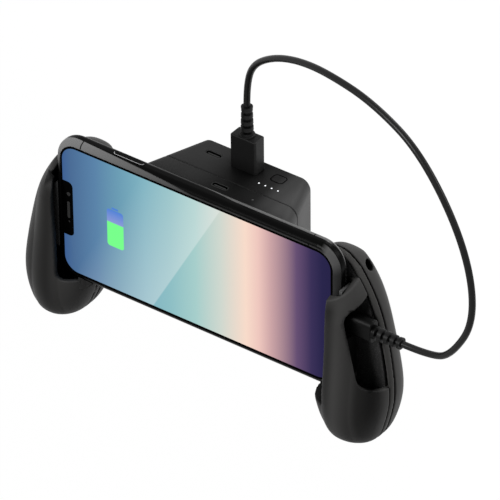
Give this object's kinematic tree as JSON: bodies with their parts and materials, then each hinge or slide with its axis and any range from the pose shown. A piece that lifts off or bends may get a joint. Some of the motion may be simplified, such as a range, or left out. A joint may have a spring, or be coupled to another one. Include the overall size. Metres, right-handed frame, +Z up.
{
  "type": "telescoping phone game controller",
  "caption": "Telescoping two-handle game grip clamping a phone, with a charging module, plug-on battery pack and short USB cable.",
  "frame": {"origin": "on the ground at the middle of the footprint box, under the phone's middle, cable left out", "axes": "+X along the phone towards the cable side, +Y from the screen to the battery pack, +Z up"},
  "size_m": [0.2505, 0.0558, 0.1813],
  "materials": {
    "handle_plastic": "soft-touch black, fine moulded grain",
    "band_plastic": "satin black",
    "liner_plastic": "spark-textured black",
    "housing_plastic": "fine matt black",
    "inner_plastic": "plain black moulding",
    "soft_pad": "matt rubber",
    "cable_rubber": "smooth satin black sheath",
    "plug_plastic": "matt black overmould",
    "steel": "plain bright steel",
    "arm_metal": "black anodised",
    "phone_metal": "polished dark metal",
    "phone_glass_black": "black glass",
    "display_glass": "lit display",
    "phone_filling": "cell and boards of the phone",
    "copper": "enamelled copper",
    "ferrite": "dark grey sheet",
    "board_green": "solder mask",
    "cell_wrap": "foil",
    "magnet": "nickel plated",
    "gold_contact": "gold plated",
    "light_pipe": "clear, lit white",
    "pinion_plastic": "natural acetal"
  },
  "bodies": {
    "centre": {"phone_frame": "phone_metal", "phone_front_glass": "phone_glass_black", "phone_display": "display_glass", "phone_back_glass": "phone_glass_black", "phone_core": "phone_filling", "module_shell": "housing_plastic", "rest_plate": "inner_plastic", "module_screws": "steel", "rest_pads": "soft_pad", "charging_coil": "copper", "ferrite_sheet": "ferrite", "module_board": "board_green", "module_usb_c_port": "steel", "indicator_light_pipe": "light_pipe", "contact_pins": "gold_contact", "module_magnets": "magnet", "slide_guides": "inner_plastic", "pinion_axle": "steel", "return_spring": "steel", "cord": "cable_rubber", "phone_plug_tip": "steel", "phone_plug_body": "plug_plastic", "phone_plug_relief": "plug_plastic"},
    "battery": {"battery_shell": "housing_plastic", "battery_front_cover": "inner_plastic", "battery_screws": "steel", "battery_contacts": "gold_contact", "battery_magnets": "magnet", "battery_cells": "cell_wrap", "battery_board": "board_green", "battery_usb_c_port": "steel", "usb_a_port": "steel", "button_switch": "inner_plastic", "led_light_guide": "light_pipe", "usb_plug_tip": "steel", "usb_plug_body": "plug_plastic", "usb_plug_relief": "plug_plastic"},
    "power_button": {"power_button": "housing_plastic"},
    "pinion": {"pinion": "pinion_plastic"},
    "right_grip": {"right_front_shell": "handle_plastic", "right_mid_band": "band_plastic", "right_rear_shell": "handle_plastic", "right_liner": "liner_plastic", "right_clamp_pad": "soft_pad", "right_grip_screws": "steel", "right_slide_arm": "arm_metal"},
    "left_grip": {"left_front_shell": "handle_plastic", "left_mid_band": "band_plastic", "left_rear_shell": "handle_plastic", "left_liner": "liner_plastic", "left_clamp_pad": "soft_pad", "left_grip_screws": "steel", "left_slide_arm": "arm_metal"},
    "side_key": {"phone_side_key": "phone_metal"},
    "volume_up_key": {"phone_volume_up_key": "phone_metal"},
    "volume_down_key": {"phone_volume_down_key": "phone_metal"}
  },
  "joints": [
    {"name": "right_grip_slide", "type": "slide", "parent": "centre", "child": "right_grip", "axis": [1, 0, 0], "range_m": [0, 0.009], "stiffness_N_per_m": 250, "springref_m": -0.02},
    {"name": "left_grip_slide", "type": "slide", "parent": "centre", "child": "left_grip", "axis": [-1, 0, 0], "range_m": [0, 0.009]},
    {"name": "pinion_spin", "type": "hinge", "parent": "centre", "child": "pinion", "pos_m": [0, -0.00675, 0.0665], "axis": [0, 1, 0], "range_deg": [-87, 0]},
    {"name": "battery_release", "type": "slide", "parent": "centre", "child": "battery", "axis": [0, 1, 0], "range_m": [0, 0.012]},
    {"name": "power_button_press", "type": "slide", "parent": "battery", "child": "power_button", "axis": [0, 0, -1], "range_m": [0, 0.0004], "stiffness_N_per_m": 300, "springref_m": -0.001},
    {"name": "side_key_press", "type": "slide", "parent": "centre", "child": "side_key", "axis": [0, 0, -1], "range_m": [0, 0.00025], "stiffness_N_per_m": 300, "springref_m": -0.001},
    {"name": "volume_up_press", "type": "slide", "parent": "centre", "child": "volume_up_key", "axis": [0, 0, 1], "range_m": [0, 0.00025], "stiffness_N_per_m": 300, "springref_m": -0.001},
    {"name": "volume_down_press", "type": "slide", "parent": "centre", "child": "volume_down_key", "axis": [0, 0, 1], "range_m": [0, 0.00025], "stiffness_N_per_m": 300, "springref_m": -0.001}
  ],
  "couplings": [
    {"joint": "left_grip_slide", "follows": "right_grip_slide", "ratio": 1},
    {"joint": "pinion_spin", "follows": "right_grip_slide", "rad_per_m": -166.67}
  ]
}
